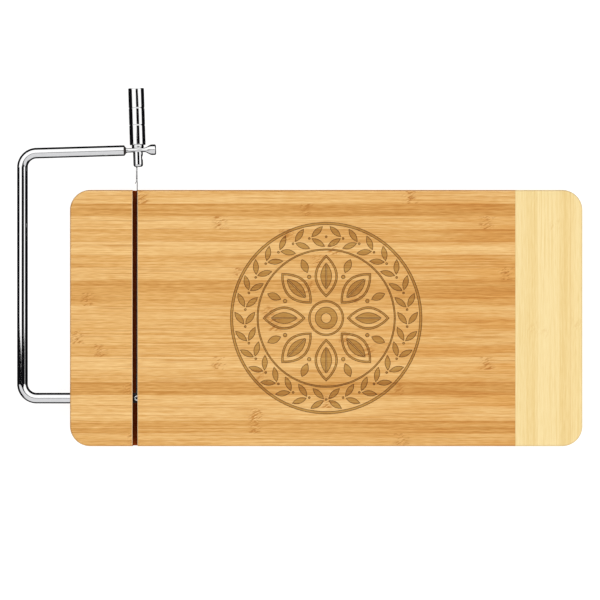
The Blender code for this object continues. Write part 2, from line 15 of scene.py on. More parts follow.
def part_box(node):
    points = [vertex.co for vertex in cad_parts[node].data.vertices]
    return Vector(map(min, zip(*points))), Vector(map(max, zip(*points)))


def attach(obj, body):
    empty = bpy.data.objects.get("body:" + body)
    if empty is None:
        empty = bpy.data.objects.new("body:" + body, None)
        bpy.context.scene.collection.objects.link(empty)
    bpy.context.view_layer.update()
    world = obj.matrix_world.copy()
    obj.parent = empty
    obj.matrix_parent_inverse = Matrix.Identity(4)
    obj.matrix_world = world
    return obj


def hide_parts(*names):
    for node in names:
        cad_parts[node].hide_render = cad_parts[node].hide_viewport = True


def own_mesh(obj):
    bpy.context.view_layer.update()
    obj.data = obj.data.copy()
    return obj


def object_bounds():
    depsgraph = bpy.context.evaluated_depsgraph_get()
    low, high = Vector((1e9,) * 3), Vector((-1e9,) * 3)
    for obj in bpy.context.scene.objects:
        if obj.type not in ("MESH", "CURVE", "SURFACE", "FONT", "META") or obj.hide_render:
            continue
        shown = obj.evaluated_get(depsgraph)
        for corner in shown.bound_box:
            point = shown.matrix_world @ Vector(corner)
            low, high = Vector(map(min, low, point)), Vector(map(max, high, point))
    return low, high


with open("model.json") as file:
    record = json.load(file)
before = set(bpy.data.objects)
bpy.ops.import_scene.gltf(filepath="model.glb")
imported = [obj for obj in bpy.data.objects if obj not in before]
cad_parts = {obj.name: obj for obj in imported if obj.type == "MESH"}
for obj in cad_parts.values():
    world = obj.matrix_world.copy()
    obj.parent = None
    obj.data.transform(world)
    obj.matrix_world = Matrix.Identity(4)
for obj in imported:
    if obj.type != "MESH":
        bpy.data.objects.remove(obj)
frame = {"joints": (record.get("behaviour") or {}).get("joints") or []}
CAD_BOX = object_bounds()
JOINTS = {joint["name"]: joint for joint in frame["joints"]}

# ---------------------------------------------------------------- places read from the frame

PANEL_LOW, PANEL_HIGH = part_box("board_panel")
BAND_LOW, BAND_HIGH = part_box("board_end_band")
LEFT = PANEL_LOW.x
RIGHT = BAND_HIGH.x
FRONT = PANEL_LOW.y
BACK = PANEL_HIGH.y
BASE = PANEL_LOW.z
TOP = PANEL_HIGH.z
WIDTH = BACK - FRONT
THICKNESS = TOP - BASE
MID_HEIGHT = (BASE + TOP) / 2
PANEL_END = BAND_LOW.x - 0.0003  # the model leaves 0.3 mm for the glue
PIVOT = Vector(JOINTS["handle_swing"]["pos_m"])
EYE = Vector(JOINTS["grip_turn"]["pos_m"])
GRIP_DIRECTION = Vector(JOINTS["grip_turn"]["axis"])
OPENING = math.atan2(-GRIP_DIRECTION.x, GRIP_DIRECTION.y)
BAR_LOW, BAR_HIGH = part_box("handle_bar")

# Frames of the two axes that the handle's pieces are made on
PIVOT_FRAME = Matrix.Translation(PIVOT)
EYE_TURN = Matrix.Rotation(OPENING, 4, "Z") @ Matrix.Rotation(-math.pi / 2, 4, "X")
EYE_FRAME = Matrix.Translation(EYE) @ EYE_TURN

# ---------------------------------------------------------------- sizes

CORNER_RADIUS = 0.012
EDGE_RADIUS = 0.0012
TONGUE_LENGTH = 0.008
TONGUE_THICKNESS = 0.006
GLUE_LINE = 0.00005
SLOT_WIDTH = 0.003
SLOT_BELOW_PIVOT = 0.0015
SLOT_CHAMFER = 0.0004
CUT_PAST = 0.002
STRIP_WIDTH = 0.0076
BAND_STRIP_WIDTH = 0.0066
ENGRAVING_DEPTH = 0.00035

BAR_RADIUS = 0.003175
BEND_RADIUS = 0.0085
TIP_CHAMFER = 0.0008
SHOULDER_FROM_EYE = 0.0084
SHOULDER_LENGTH = 0.0018
EYE_HALF_THICKNESS = 0.0012
EYE_HALF_WIDTH = 0.0054
EYE_NECK = 0.25
EYE_HOLE_RADIUS = 0.00302
FLARE_FROM_EYE = 0.0038
FLARE_LENGTH = 0.0046
STUB_END_FROM_EYE = 0.0108

WIRE_RADIUS = 0.00025
TWIST_TURNS = 5.25
TWIST_LENGTH = 0.0112
TWIST_FROM_BEAD = 0.0026
LOOP_GAP = 0.00005  # between the groove's floor and the wire that loops round it
LOWER_BEAD_RADIUS = 0.0016
UPPER_BEAD_RADIUS = 0.0013
BEAD_HALF_HEIGHT = 0.0008
BEAD_HOLE_RADIUS = 0.00055
BEAD_GROOVE_DEPTH = 0.0003
LOWER_BEAD_PAST_SLOT = 0.0007
UPPER_BEAD_FROM_EYE = 0.0046
UPPER_BEAD_SETBACK = 0.0008
SEAT_DEPTH = 0.00115
SEAT_GAP = 0.0003
LAND_HEIGHT = 0.0016

BARREL_RADIUS = 0.0029
BARREL_REACH = 0.0100
BARREL_DOME = 0.0013
BARREL_IN_GRIP = 0.0005
THREAD_RADIUS = 0.0025
THREAD_PITCH = 0.0008
THREAD_DEPTH = 0.0004
THREAD_LENGTH = 0.0125
WASHER_RADIUS = 0.0036
WASHER_NEAR = 0.00125
WASHER_FAR = 0.0030
WASHER_ROUNDING = 0.0005
GRIP_RADIUS = 0.0047
GRIP_NEAR = 0.0031
GRIP_LENGTH = 0.0338
GRIP_ROUNDING = 0.0003
GROOVE_FROM_END = 0.0118
GROOVE_HALF_WIDTH = 0.0004
GROOVE_DEPTH = 0.00035

FOOT_RADIUS = 0.007
FOOT_RECESS_RADIUS = 0.0034
FOOT_RECESS_DEPTH = 0.0022
SCREW_RADIUS = 0.0015
SCREW_HEAD_RADIUS = 0.003
SCREW_HEAD_HEIGHT = 0.0015
SCREW_PITCH = 0.0014

ROUND_SIDES = 64
SUPPORT = 0.0002  # from a rounded edge to the ring of points that keeps the long face beside it straight

# Where the grey front half of the light tent starts, in degrees from straight up
FRONT_EDGE = -3.5


# ---------------------------------------------------------------- helpers: objects


def piece(name, mesh, material, body, replaced=(), matrix=None):
    """A mesh becomes a visible piece that rides on a body and stands for solids of the model."""
    if matrix is not None:
        mesh.transform(matrix)
    if not mesh.materials:
        mesh.materials.append(material)
    obj = bpy.data.objects.new(name, mesh)
    bpy.context.scene.collection.objects.link(obj)
    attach(obj, body)
    if replaced:
        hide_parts(*replaced)
    return obj


def helper(name, data, matrix=None):
    """An object that is used to make a piece, and is removed by mesh_of."""
    obj = bpy.data.objects.new(name, data)
    if matrix is not None:
        obj.matrix_world = matrix
    bpy.context.scene.collection.objects.link(obj)
    return obj


def mesh_of(obj, weld=1e-6):
    """The evaluated mesh of a helper in the row frame. The helper is then removed."""
    bpy.context.view_layer.update()
    graph = bpy.context.evaluated_depsgraph_get()
    mesh = bpy.data.meshes.new_from_object(obj.evaluated_get(graph))
    mesh.transform(obj.matrix_world)
    work = bmesh.new()
    work.from_mesh(mesh)
    bmesh.ops.remove_doubles(work, verts=work.verts, dist=weld)
    bmesh.ops.recalc_face_normals(work, faces=work.faces)
    work.to_mesh(mesh)
    work.free()
    bpy.data.objects.remove(obj)
    return mesh


def combine(mesh, others, operation="DIFFERENCE"):
    """Cut or join a mesh with others, one after the other. A cut face keeps its cutter's material."""
    obj = helper("work", mesh)
    for index, other in enumerate(others):
        modifier = obj.modifiers.new(f"step_{index}", "BOOLEAN")
        modifier.operation = operation
        modifier.material_mode = "TRANSFER"
        modifier.object = helper(f"tool_{index}", other)
    tools = [modifier.object for modifier in obj.modifiers]
    result = mesh_of(obj)
    for tool in tools:
        bpy.data.objects.remove(tool)
    return result


def shade_round(mesh, angle=30):
    mesh.shade_smooth()
    mesh.set_sharp_from_angle(angle=math.radians(angle))
    return mesh


def with_material(mesh, material):
    mesh.materials.clear()
    mesh.materials.append(material)
    return mesh


def mesh_from(name, work):
    mesh = bpy.data.meshes.new(name)
    work.to_mesh(mesh)
    work.free()
    return mesh


# ---------------------------------------------------------------- helpers: shapes


def arc(centre, radius, start, end, steps):
    """Points on an arc, with angles in degrees."""
    angles = [math.radians(start + (end - start) * i / steps) for i in range(steps + 1)]
    return [(centre[0] + radius * math.cos(a), centre[1] + radius * math.sin(a)) for a in angles]


def smooth_step(value):
    """From 0 to 1, level at both ends."""
    value = min(1.0, max(0.0, value))
    return value * value * (3.0 - 2.0 * value)


def outline_mesh(name, outlines, half_thickness, edge_radius=0.0, resolution=0, inset=None):
    """Flat outlines in XY, thickened both ways along Z. An outline inside another is a hole."""
    curve = bpy.data.curves.new(name, "CURVE")
    curve.dimensions = "2D"
    curve.fill_mode = "BOTH"
    curve.extrude = half_thickness - edge_radius
    curve.bevel_depth = edge_radius
    curve.bevel_resolution = resolution
    curve.offset = -edge_radius if inset is None else -inset
    for points in outlines:
        spline = curve.splines.new("POLY")
        spline.points.add(len(points) - 1)
        for point, (x, y) in zip(spline.points, points):
            point.co = (x, y, 0.0, 1.0)
        spline.use_cyclic_u = True
    return mesh_of(helper(name, curve))


def tube_mesh(name, path, radius, sides, radii=None):
    """A round bar along a path of points, with its ends closed."""
    curve = bpy.data.curves.new(name, "CURVE")
    curve.dimensions = "3D"
    curve.bevel_depth = radius
    curve.bevel_resolution = sides // 2 - 2
    curve.use_fill_caps = True
    spline = curve.splines.new("POLY")
    spline.points.add(len(path) - 1)
    for index, (point, place) in enumerate(zip(spline.points, path)):
        point.co = (*place, 1.0)
        point.radius = radii[index] / radius if radii else 1.0
    return shade_round(mesh_of(helper(name, curve)), 40)


def turned_mesh(name, profile, sides=ROUND_SIDES, closed=False):
    """A profile of (radius, height) points, listed down its outer side, turned about Z."""
    work = bmesh.new()
    corners = [work.verts.new((radius, 0.0, height)) for radius, height in profile]
    for first, second in zip(corners, corners[1:]):
        work.edges.new((first, second))
    if closed:
        work.edges.new((corners[-1], corners[0]))
    obj = helper(name, mesh_from(name, work))
    screw = obj.modifiers.new("turn", "SCREW")
    screw.axis = "Z"
    screw.angle = math.radians(360)
    screw.steps = sides
    screw.render_steps = sides
    screw.use_merge_vertices = True
    screw.merge_threshold = 0.00001
    return shade_round(mesh_of(obj))


def drill_mesh(radius, start, end, sides=ROUND_SIDES):
    """A cylinder between two points, used as a drill."""
    start = Vector(start)
    end = Vector(end)
    along = (end - start).to_track_quat("Z", "Y").to_matrix().to_4x4()
    work = bmesh.new()
    bmesh.ops.create_cone(
        work,
        cap_ends=True,
        segments=sides,
        radius1=radius,
        radius2=radius,
        depth=(end - start).length,
        matrix=Matrix.Translation((start + end) / 2) @ along,
    )
    return mesh_from("drill", work)


def box_mesh(low, high):
    low = Vector(low)
    high = Vector(high)
    work = bmesh.new()
    bmesh.ops.create_cube(work, size=1.0)
    bmesh.ops.scale(work, vec=high - low, verts=work.verts)
    bmesh.ops.translate(work, vec=(low + high) / 2, verts=work.verts)
    return mesh_from("box", work)


def bridge_rings(work, rings):
    """Skin a stack of rings with equal numbers of points, and close both ends."""
    sides = len(rings[0])
    for first, second in zip(rings, rings[1:]):
        for side in range(sides):
            following = (side + 1) % sides
            work.faces.new((first[side], first[following], second[following], second[side]))
    work.faces.new(rings[0][::-1])
    work.faces.new(rings[-1])
    bmesh.ops.recalc_face_normals(work, faces=work.faces)


# ---------------------------------------------------------------- helpers: materials


class Nodes:
    """Short calls that add nodes to a node tree and return their outputs."""

    def __init__(self, tree):
        self.tree = tree

    def set(self, socket, value):
        """Link an output to a socket, or set the socket's own value."""
        if isinstance(value, bpy.types.NodeSocket):
            self.tree.links.new(value, socket)
        elif isinstance(value, tuple) and len(value) == 3 and socket.type == "RGBA":
            socket.default_value = (*value, 1.0)
        else:
            socket.default_value = value

    def node(self, kind, inputs=(), output=0, **settings):
        node = self.tree.nodes.new(kind)
        for key, value in settings.items():
            setattr(node, key, value)
        for key, value in dict(inputs).items():
            self.set(node.inputs[key], value)
        return node.outputs[output]

    def math(self, operation, first, second=0.0, third=0.0):
        inputs = {0: first, 1: second, 2: third}
        return self.node("ShaderNodeMath", inputs, operation=operation)

    def object_position(self):
        return self.node("ShaderNodeTexCoord", output="Object")

    def split(self, vector):
        node = self.tree.nodes.new("ShaderNodeSeparateXYZ")
        self.set(node.inputs[0], vector)
        return node.outputs

    def join(self, x, y, z):
        return self.node("ShaderNodeCombineXYZ", {0: x, 1: y, 2: z})

    def noise(self, vector, scale=1.0, detail=2.0, roughness=0.5, distortion=0.0):
        inputs = {
            "Vector": vector,
            "Scale": scale,
            "Detail": detail,
            "Roughness": roughness,
            "Distortion": distortion,
        }
        return self.node("ShaderNodeTexNoise", inputs, output="Fac")

    def random(self, value):
        """A steady random number from 0 to 1 for each whole number."""
        return self.node("ShaderNodeTexWhiteNoise", {"W": value}, output="Value", noise_dimensions="1D")

    def fade(self, value, low, high, out_low=0.0, out_high=1.0):
        """Map a range onto another, smoothly, and clamp it."""
        inputs = {"Value": value, "From Min": low, "From Max": high, "To Min": out_low, "To Max": out_high}
        return self.node("ShaderNodeMapRange", inputs, interpolation_type="SMOOTHSTEP")

    def degrees(self, rise, run):
        """The angle whose tangent is rise over run."""
        return self.math("MULTIPLY", self.math("ARCTAN2", rise, run), 180 / math.pi)

    def window(self, value, low, high, soft):
        """1 between two values and 0 outside them, with soft edges."""
        rising = self.fade(value, low - soft, low)
        return self.math("MULTIPLY", rising, self.fade(value, high, high + soft, 1.0, 0.0))

    def mix(self, factor, first, second, blend="MIX"):
        node = self.tree.nodes.new("ShaderNodeMix")
        node.data_type = "RGBA"
        node.blend_type = blend
        self.set(node.inputs[0], factor)
        self.set(node.inputs[6], first)
        self.set(node.inputs[7], second)
        return node.outputs[2]

    def ramp(self, factor, *stops):
        """Colours along a factor, given as (position, colour) pairs."""
        node = self.tree.nodes.new("ShaderNodeValToRGB")
        elements = node.color_ramp.elements
        while len(elements) < len(stops):
            elements.new(0.5)
        for element, (position, color) in zip(elements, stops):
            element.position = position
            element.color = (*color, 1.0)
        self.set(node.inputs[0], factor)
        return node.outputs[0]


class Surface(Nodes):
    """A new material with a Principled BSDF, some of whose sockets are set at once."""

    def __init__(self, name, **shader_values):
        self.material = bpy.data.materials.new(name)
        self.material.use_nodes = True
        super().__init__(self.material.node_tree)
        self.inputs = self.tree.nodes["Principled BSDF"].inputs
        for key, value in shader_values.items():
            self.set(self.inputs[key.replace("_", " ")], value)

    def bump(self, height, distance, strength=1.0):
        inputs = {"Height": height, "Distance": distance, "Strength": strength}
        self.set(self.inputs["Normal"], self.node("ShaderNodeBump", inputs))


# ---------------------------------------------------------------- materials


def bamboo(name, along, strip_width, strip_start, tones, knot_color, knot_spacing, knot_strength, seam):
    """Laminated bamboo: strips side by side, with fibres, knuckles, glue seams and end grain.

    along is the axis that the strips run along, "X" or "Y". tones are the fibres' dark, middle and light
    colours. It returns the surface and its colour, which is still to be set.
    """
    nodes = Surface(name, Specular_IOR_Level=0.4)
    position = nodes.split(nodes.object_position())
    length = position[0] if along == "X" else position[1]
    across = position[1] if along == "X" else position[0]
    height = position[2]

    strip = nodes.math("DIVIDE", nodes.math("SUBTRACT", across, strip_start), strip_width)
    strip_number = nodes.math("FLOOR", strip)
    in_strip = nodes.math("FRACT", strip)
    own = nodes.math("MULTIPLY", strip_number, 3.7)
    tone = nodes.random(strip_number)
    shift = nodes.random(nodes.math("ADD", strip_number, 0.37))

    def drawn_out(along_scale, across_scale, across_value):
        """A place in noise that is drawn out along the strip, different in every strip."""
        return nodes.join(
            nodes.math("MULTIPLY_ADD", length, along_scale, own),
            nodes.math("MULTIPLY", across_value, across_scale),
            nodes.math("MULTIPLY", height, across_scale),
        )

    # Knuckles: each strip has them at its own places, evenly spaced along it, with ragged ends
    run = nodes.math("ADD", nodes.math("DIVIDE", length, knot_spacing), nodes.math("MULTIPLY", shift, 7.3))
    from_knot = nodes.math("SUBTRACT", nodes.math("FRACT", run), 0.5)
    ragged = nodes.math("SUBTRACT", nodes.noise(drawn_out(160.0, 420.0, across), 1.0, 3.0), 0.5)
    knot_distance = nodes.math("MULTIPLY", nodes.math("ABSOLUTE", from_knot), knot_spacing)
    knot_distance = nodes.math("MULTIPLY_ADD", ragged, 0.012, knot_distance)
    knot = nodes.fade(knot_distance, 0.0005, 0.0055, 1.0, 0.0)

    # Fibres: long and short streaks that wander a little, and bend round the knuckles
    wander = nodes.math("SUBTRACT", nodes.noise(drawn_out(38.0, 160.0, across), 1.0, 2.0), 0.5)
    zigzag = nodes.math("SUBTRACT", nodes.noise(drawn_out(420.0, 300.0, across), 1.0, 2.0), 0.5)
    bend = nodes.math("MULTIPLY", nodes.math("MULTIPLY", zigzag, knot), 0.0026)
    bent = nodes.math("ADD", nodes.math("MULTIPLY_ADD", wander, 0.0008, across), bend)
    long_streaks = nodes.noise(drawn_out(13.0, 1500.0, bent), 1.0, 3.0, 0.62)
    short_streaks = nodes.noise(drawn_out(150.0, 2600.0, bent), 1.0, 1.0)
    towards_short = nodes.math("SUBTRACT", short_streaks, long_streaks)
    fibre = nodes.math("MULTIPLY_ADD", towards_short, 0.40, long_streaks)
    value = nodes.math("MULTIPLY_ADD", nodes.math("SUBTRACT", tone, 0.5), 0.21, fibre)
    broad = nodes.math("SUBTRACT", nodes.noise(drawn_out(7.0, 130.0, across), 1.0, 2.0), 0.5)
    value = nodes.math("MULTIPLY_ADD", broad, 0.12, value)
    dark, middle, light = tones
    color = nodes.ramp(value, (0.29, dark), (0.48, middle), (0.69, light))
    single_fibres = nodes.noise(drawn_out(20.0, 1150.0, bent), 1.0, 1.0)
    color = nodes.mix(nodes.fade(single_fibres, 0.60, 0.70, 0.0, 0.55), color, dark)

    # Short dark strokes across the grain at the knuckles
    slanted_along = nodes.math("MULTIPLY_ADD", across, 0.5, length)
    slanted_across = nodes.math("MULTIPLY_ADD", length, -0.45, across)
    stroke_place = nodes.join(
        nodes.math("MULTIPLY_ADD", slanted_along, 260.0, own),
        nodes.math("MULTIPLY", slanted_across, 1150.0),
        nodes.math("MULTIPLY", height, 1150.0),
    )
    strokes = nodes.fade(nodes.noise(stroke_place, 1.0, 2.0, 0.6), 0.45, 0.62)
    knot_amount = nodes.math("MULTIPLY", nodes.math("MULTIPLY", knot, strokes), knot_strength)
    color = nodes.mix(knot_amount, color, knot_color)

    # Glue seams between the strips: a few of them are dark
    to_seam = nodes.math("MINIMUM", in_strip, nodes.math("SUBTRACT", 1.0, in_strip))
    seam_distance = nodes.math("MULTIPLY", to_seam, strip_width)
    seam_number = nodes.math("FLOOR", nodes.math("ADD", strip, 0.5))
    darkness = nodes.math("POWER", nodes.random(nodes.math("ADD", seam_number, 0.71)), 3.0)
    seam_line = nodes.fade(seam_distance, 0.00006, 0.00030, seam, 0.0)
    seam_amount = nodes.math("MULTIPLY", seam_line, darkness)
    color = nodes.mix(seam_amount, color, knot_color)

    # End grain: dark fibre bundles, seen end on
    normal = nodes.split(nodes.node("ShaderNodeTexCoord", output="Normal"))
    facing = nodes.math("ABSOLUTE", normal[0] if along == "X" else normal[1])
    end_grain = nodes.fade(facing, 0.75, 0.92)
    bundle_place = nodes.join(
        nodes.math("MULTIPLY", across, 1500.0), nodes.math("MULTIPLY", height, 1500.0), own
    )
    bundle_distance = nodes.node("ShaderNodeTexVoronoi", {"Vector": bundle_place, "Scale": 1.0}, "Distance")
    bundle = nodes.fade(bundle_distance, 0.15, 0.42, 1.0, 0.0)
    color = nodes.mix(end_grain, color, nodes.mix(bundle, middle, dark))

    # Painted shade: rounded edges and sides are a little darker, the further they turn from straight up
    painted_edge_shade = nodes.fade(normal[2], 0.60, 0.985, 1.0, 0.0)
    color = nodes.mix(painted_edge_shade, color, (0.80, 0.76, 0.72), blend="MULTIPLY")

    nodes.set(nodes.inputs["Roughness"], nodes.fade(fibre, 0.2, 0.8, 0.58, 0.46))
    sunken = nodes.math("ADD", seam_amount, knot_amount)
    relief = nodes.math("MULTIPLY_ADD", sunken, -0.5, fibre)
    nodes.bump(relief, 0.00005, 0.5)
    return nodes, color


def caramel(name, tint=(1.0, 1.0, 1.0), amount=0.0, blend="MULTIPLY"):
    """Caramel bamboo, redder towards the right end, and blended with a tint."""
    nodes, color = bamboo(
        name,
        along="X",
        strip_width=STRIP_WIDTH,
        strip_start=FRONT,
        tones=((0.57, 0.245, 0.040), (0.76, 0.405, 0.113), (0.925, 0.600, 0.245)),
        knot_color=(0.52, 0.205, 0.030),
        knot_spacing=0.16,
        knot_strength=0.95,
        seam=0.5,
    )
    position = nodes.split(nodes.object_position())
    streaks = nodes.join(
        nodes.math("MULTIPLY", position[0], 11.0), nodes.math("MULTIPLY", position[1], 150.0), 0.0
    )
    redder = nodes.fade(position[0], -0.02, PANEL_END)
    redder = nodes.math("MULTIPLY", redder, nodes.fade(nodes.noise(streaks), 0.35, 0.65))
    color = nodes.mix(redder, color, (0.90, 0.77, 0.56), blend="MULTIPLY")
    nodes.set(nodes.inputs["Base Color"], nodes.mix(amount, color, tint, blend=blend))
    return nodes.material


def natural(name):
    nodes, color = bamboo(
        name,
        along="Y",
        strip_width=BAND_STRIP_WIDTH,
        strip_start=PANEL_END,
        tones=((0.86, 0.615, 0.240), (0.925, 0.705, 0.322), (0.975, 0.775, 0.395)),
        knot_color=(0.78, 0.50, 0.17),
        knot_spacing=0.23,
        knot_strength=0.3,
        seam=0.6,
    )
    nodes.set(nodes.inputs["Base Color"], color)
    return nodes.material


def painted_recess_shade():
    """The sides and floor of the slot, and the bore, dark red-brown with a little grain left: painted shade
    deep in the recess.
    """
    nodes = Surface("recess_painted_shade", Specular_IOR_Level=0.05)
    position = nodes.split(nodes.object_position())
    place = nodes.join(
        nodes.math("MULTIPLY", position[0], 200.0),
        nodes.math("MULTIPLY", position[1], 1400.0),
        nodes.math("MULTIPLY", position[2], 500.0),
    )
    recess_mottle = nodes.noise(place, 1.0, 3.0, 0.6)
    color = nodes.ramp(recess_mottle, (0.3, (0.23, 0.036, 0.003)), (0.7, (0.40, 0.080, 0.009)))
    nodes.set(nodes.inputs["Base Color"], color)
    nodes.set(nodes.inputs["Roughness"], nodes.fade(recess_mottle, 0.3, 0.7, 0.75, 0.6))
    nodes.bump(recess_mottle, 0.0001, 0.5)
    return nodes.material


def chrome():
    """Bright chrome plate, with faint polishing haze and a very slight waviness."""
    nodes = Surface("chrome_plate", Metallic=1.0)
    place = nodes.object_position()
    haze = nodes.noise(place, 380.0, 4.0, 0.6)
    color = nodes.ramp(haze, (0.3, (0.91, 0.912, 0.915)), (0.7, (0.965, 0.965, 0.967)))
    nodes.set(nodes.inputs["Base Color"], color)
    nodes.set(nodes.inputs["Roughness"], nodes.fade(haze, 0.35, 0.75, 0.028, 0.040))
    nodes.bump(nodes.noise(place, 90.0, 1.0), 0.00002, 0.08)
    return nodes.material


def stainless():
    """Drawn stainless wire and small turned steel pieces."""
    nodes = Surface("stainless_drawn", Metallic=1.0)
    grain = nodes.noise(nodes.object_position(), 2500.0, 2.0)
    color = nodes.ramp(grain, (0.3, (0.74, 0.735, 0.73)), (0.7, (0.86, 0.855, 0.85)))
    nodes.set(nodes.inputs["Base Color"], color)
    nodes.set(nodes.inputs["Roughness"], nodes.fade(grain, 0.3, 0.7, 0.12, 0.22))
    return nodes.material


def wire_steel():
    """The cutting wire: painted dark all along, as shade, so that it hardly shows in the slot, with brighter
    patches on the twist past the board.
    """
    nodes = Surface("wire_steel", Metallic=1.0)
    place = nodes.object_position()
    wire_shade_mottle = nodes.noise(place, 4000.0, 2.0)
    # Painted shade: the wire's steel is very dark
    color = nodes.ramp(wire_shade_mottle, (0.3, (0.06, 0.06, 0.06)), (0.7, (0.13, 0.13, 0.13)))
    along = nodes.split(place)[1]
    patch_place = nodes.join(0.0, nodes.math("MULTIPLY", along, 950.0), 0.0)
    patches = nodes.fade(nodes.noise(patch_place), 0.44, 0.52)
    past_board = nodes.fade(along, BACK + 0.0042, BACK + 0.0048)
    color = nodes.mix(nodes.math("MULTIPLY", patches, past_board), color, (0.78, 0.78, 0.78))
    nodes.set(nodes.inputs["Base Color"], color)
    nodes.set(nodes.inputs["Roughness"], nodes.fade(wire_shade_mottle, 0.3, 0.7, 0.22, 0.34))
    return nodes.material


def painted_dark_steel():
    """Near-black steel in the bead's seat, the flat beside it and the step down to the eye, as a painted dark
    reflection and shade.
    """
    nodes = Surface("painted_dark_steel", Metallic=0.3)
    dark_steel_mottle = nodes.noise(nodes.object_position(), 1800.0, 3.0, 0.6)
    color = nodes.ramp(dark_steel_mottle, (0.3, (0.012, 0.009, 0.008)), (0.7, (0.030, 0.022, 0.018)))
    nodes.set(nodes.inputs["Base Color"], color)
    nodes.set(nodes.inputs["Roughness"], nodes.fade(dark_steel_mottle, 0.3, 0.7, 0.5, 0.7))
    return nodes.material


def rubber():
    """Black moulded rubber, with a fine matte texture and a little dust."""
    nodes = Surface("foot_rubber_moulded", Specular_IOR_Level=0.3)
    place = nodes.object_position()
    grain = nodes.noise(place, 3200.0, 2.0, 0.6)
    dust = nodes.noise(place, 260.0, 3.0, 0.6)
    color = nodes.ramp(dust, (0.45, (0.022, 0.022, 0.023)), (0.8, (0.060, 0.058, 0.055)))
    nodes.set(nodes.inputs["Base Color"], color)
    nodes.set(nodes.inputs["Roughness"], nodes.fade(dust, 0.3, 0.7, 0.62, 0.82))
    nodes.bump(grain, 0.00004, 0.5)
    return nodes.material


CARAMEL = caramel("bamboo_caramel")
ENGRAVED = caramel("bamboo_engraved", (0.62, 0.54, 0.32), 1.0)
# Painted shade: the engraving's sloping walls are much darker, and show as a dark outline from above
ENGRAVED_EDGE_SHADE = caramel("bamboo_engraved_edge_painted_shade", (0.28, 0.21, 0.10), 1.0)
# Painted highlight: the slot's eased corners are lighter and creamier than the top
EASED_HIGHLIGHT = caramel("bamboo_eased_painted_highlight", (1.0, 0.78, 0.46), 0.75, "MIX")
NATURAL = natural("bamboo_natural")
RECESS_SHADE = painted_recess_shade()
CHROME = chrome()
STAINLESS = stainless()
WIRE_STEEL = wire_steel()
STEEL_PAINTED_DARK = painted_dark_steel()
RUBBER = rubber()


# ---------------------------------------------------------------- board


def board_blank():
    left = LEFT + CORNER_RADIUS
    right = RIGHT - CORNER_RADIUS
    front = FRONT + CORNER_RADIUS
    back = BACK - CORNER_RADIUS
    corners = [(right, back, 0), (left, back, 90), (left, front, 180), (right, front, 270)]
    outline = []
    for x, y, start in corners:
        outline += arc((x, y), CORNER_RADIUS, start, start + 90, 24)
    mesh = outline_mesh("board_blank", [outline], THICKNESS / 2, EDGE_RADIUS, resolution=5)
    mesh.transform(Matrix.Translation((0, 0, MID_HEIGHT)))
    return mesh


def upright_across(points):
    """A cutter with an upright outline, in X and height over mid board, that runs across the board."""
    mesh = outline_mesh("across", [points], WIDTH / 2 + CUT_PAST)
    middle = Matrix.Translation((0, (FRONT + BACK) / 2, MID_HEIGHT))
    mesh.transform(middle @ Matrix.Rotation(math.pi / 2, 4, "X"))
    return mesh


def band_side(gap):
    """Everything on the band's side of the tongue and groove, in X and height over mid board."""
    outside = THICKNESS / 2 + CUT_PAST
    far = RIGHT + CUT_PAST
    face = PANEL_END + gap
    end = face + TONGUE_LENGTH
    half = TONGUE_THICKNESS / 2 + gap
    return [
        (face, -outside),
        (far, -outside),
        (far, outside),
        (face, outside),
        (face, half),
        (end, half),
        (end, -half),
        (face, -half),
    ]


def slot_outline():
    half = SLOT_WIDTH / 2
    wide = half + SLOT_CHAMFER
    top = THICKNESS / 2
    right = [(half, -SLOT_BELOW_PIVOT), (half, top - SLOT_CHAMFER), (wide, top), (wide, top + CUT_PAST)]
    left = [(-across, height) for across, height in reversed(right)]
    return [(PIVOT.x + across, height) for across, height in right + left]


def slot_cutter():
    """The slot's cutter: its sides and floor get the dark red-brown painted shade, and its eased corners a
    lighter cream, as a painted highlight.
    """
    mesh = with_material(upright_across(slot_outline()), RECESS_SHADE)
    mesh.materials.append(EASED_HIGHLIGHT)
    for face in mesh.polygons:
        if 0.3 < abs(face.normal.z) < 0.9:
            face.material_index = 1
    return mesh


# ---------------------------------------------------------------- engraved ornament


def circle(radius, count, centre=(0.0, 0.0)):
    return arc(centre, radius, 0, 360 - 360 / count, count - 1)


def turned_about(points, angle, radius=0.0):
    """Points moved out along X by a radius, then turned about the origin by degrees."""
    cosine = math.cos(math.radians(angle))
    sine = math.sin(math.radians(angle))
    return [((x + radius) * cosine - y * sine, (x + radius) * sine + y * cosine) for x, y in points]


def leaf(length, width, tilt=0.0, steps=7):
    """A pointed leaf along X, centred, turned by a tilt in degrees."""
    half = length / 2
    upper = []
    for i in range(steps):
        bulge = width / 2 * math.sin(math.pi * i / steps) ** 0.85
        upper.append((half - length * i / steps, bulge))
    lower = [(-x, -y) for x, y in upper]
    return turned_about(upper + lower, tilt)


def half_leaf(length, width, side, vein):
    """One half of a leaf along X, beside its vein."""
    steps = 9
    points = []
    for i in range(steps + 1):
        x = length / 2 - length * i / steps
        bulge = width / 2 * math.sin(math.pi * i / steps) ** 0.85
        points.append((x, side * (vein / 2 + bulge)))
    return points


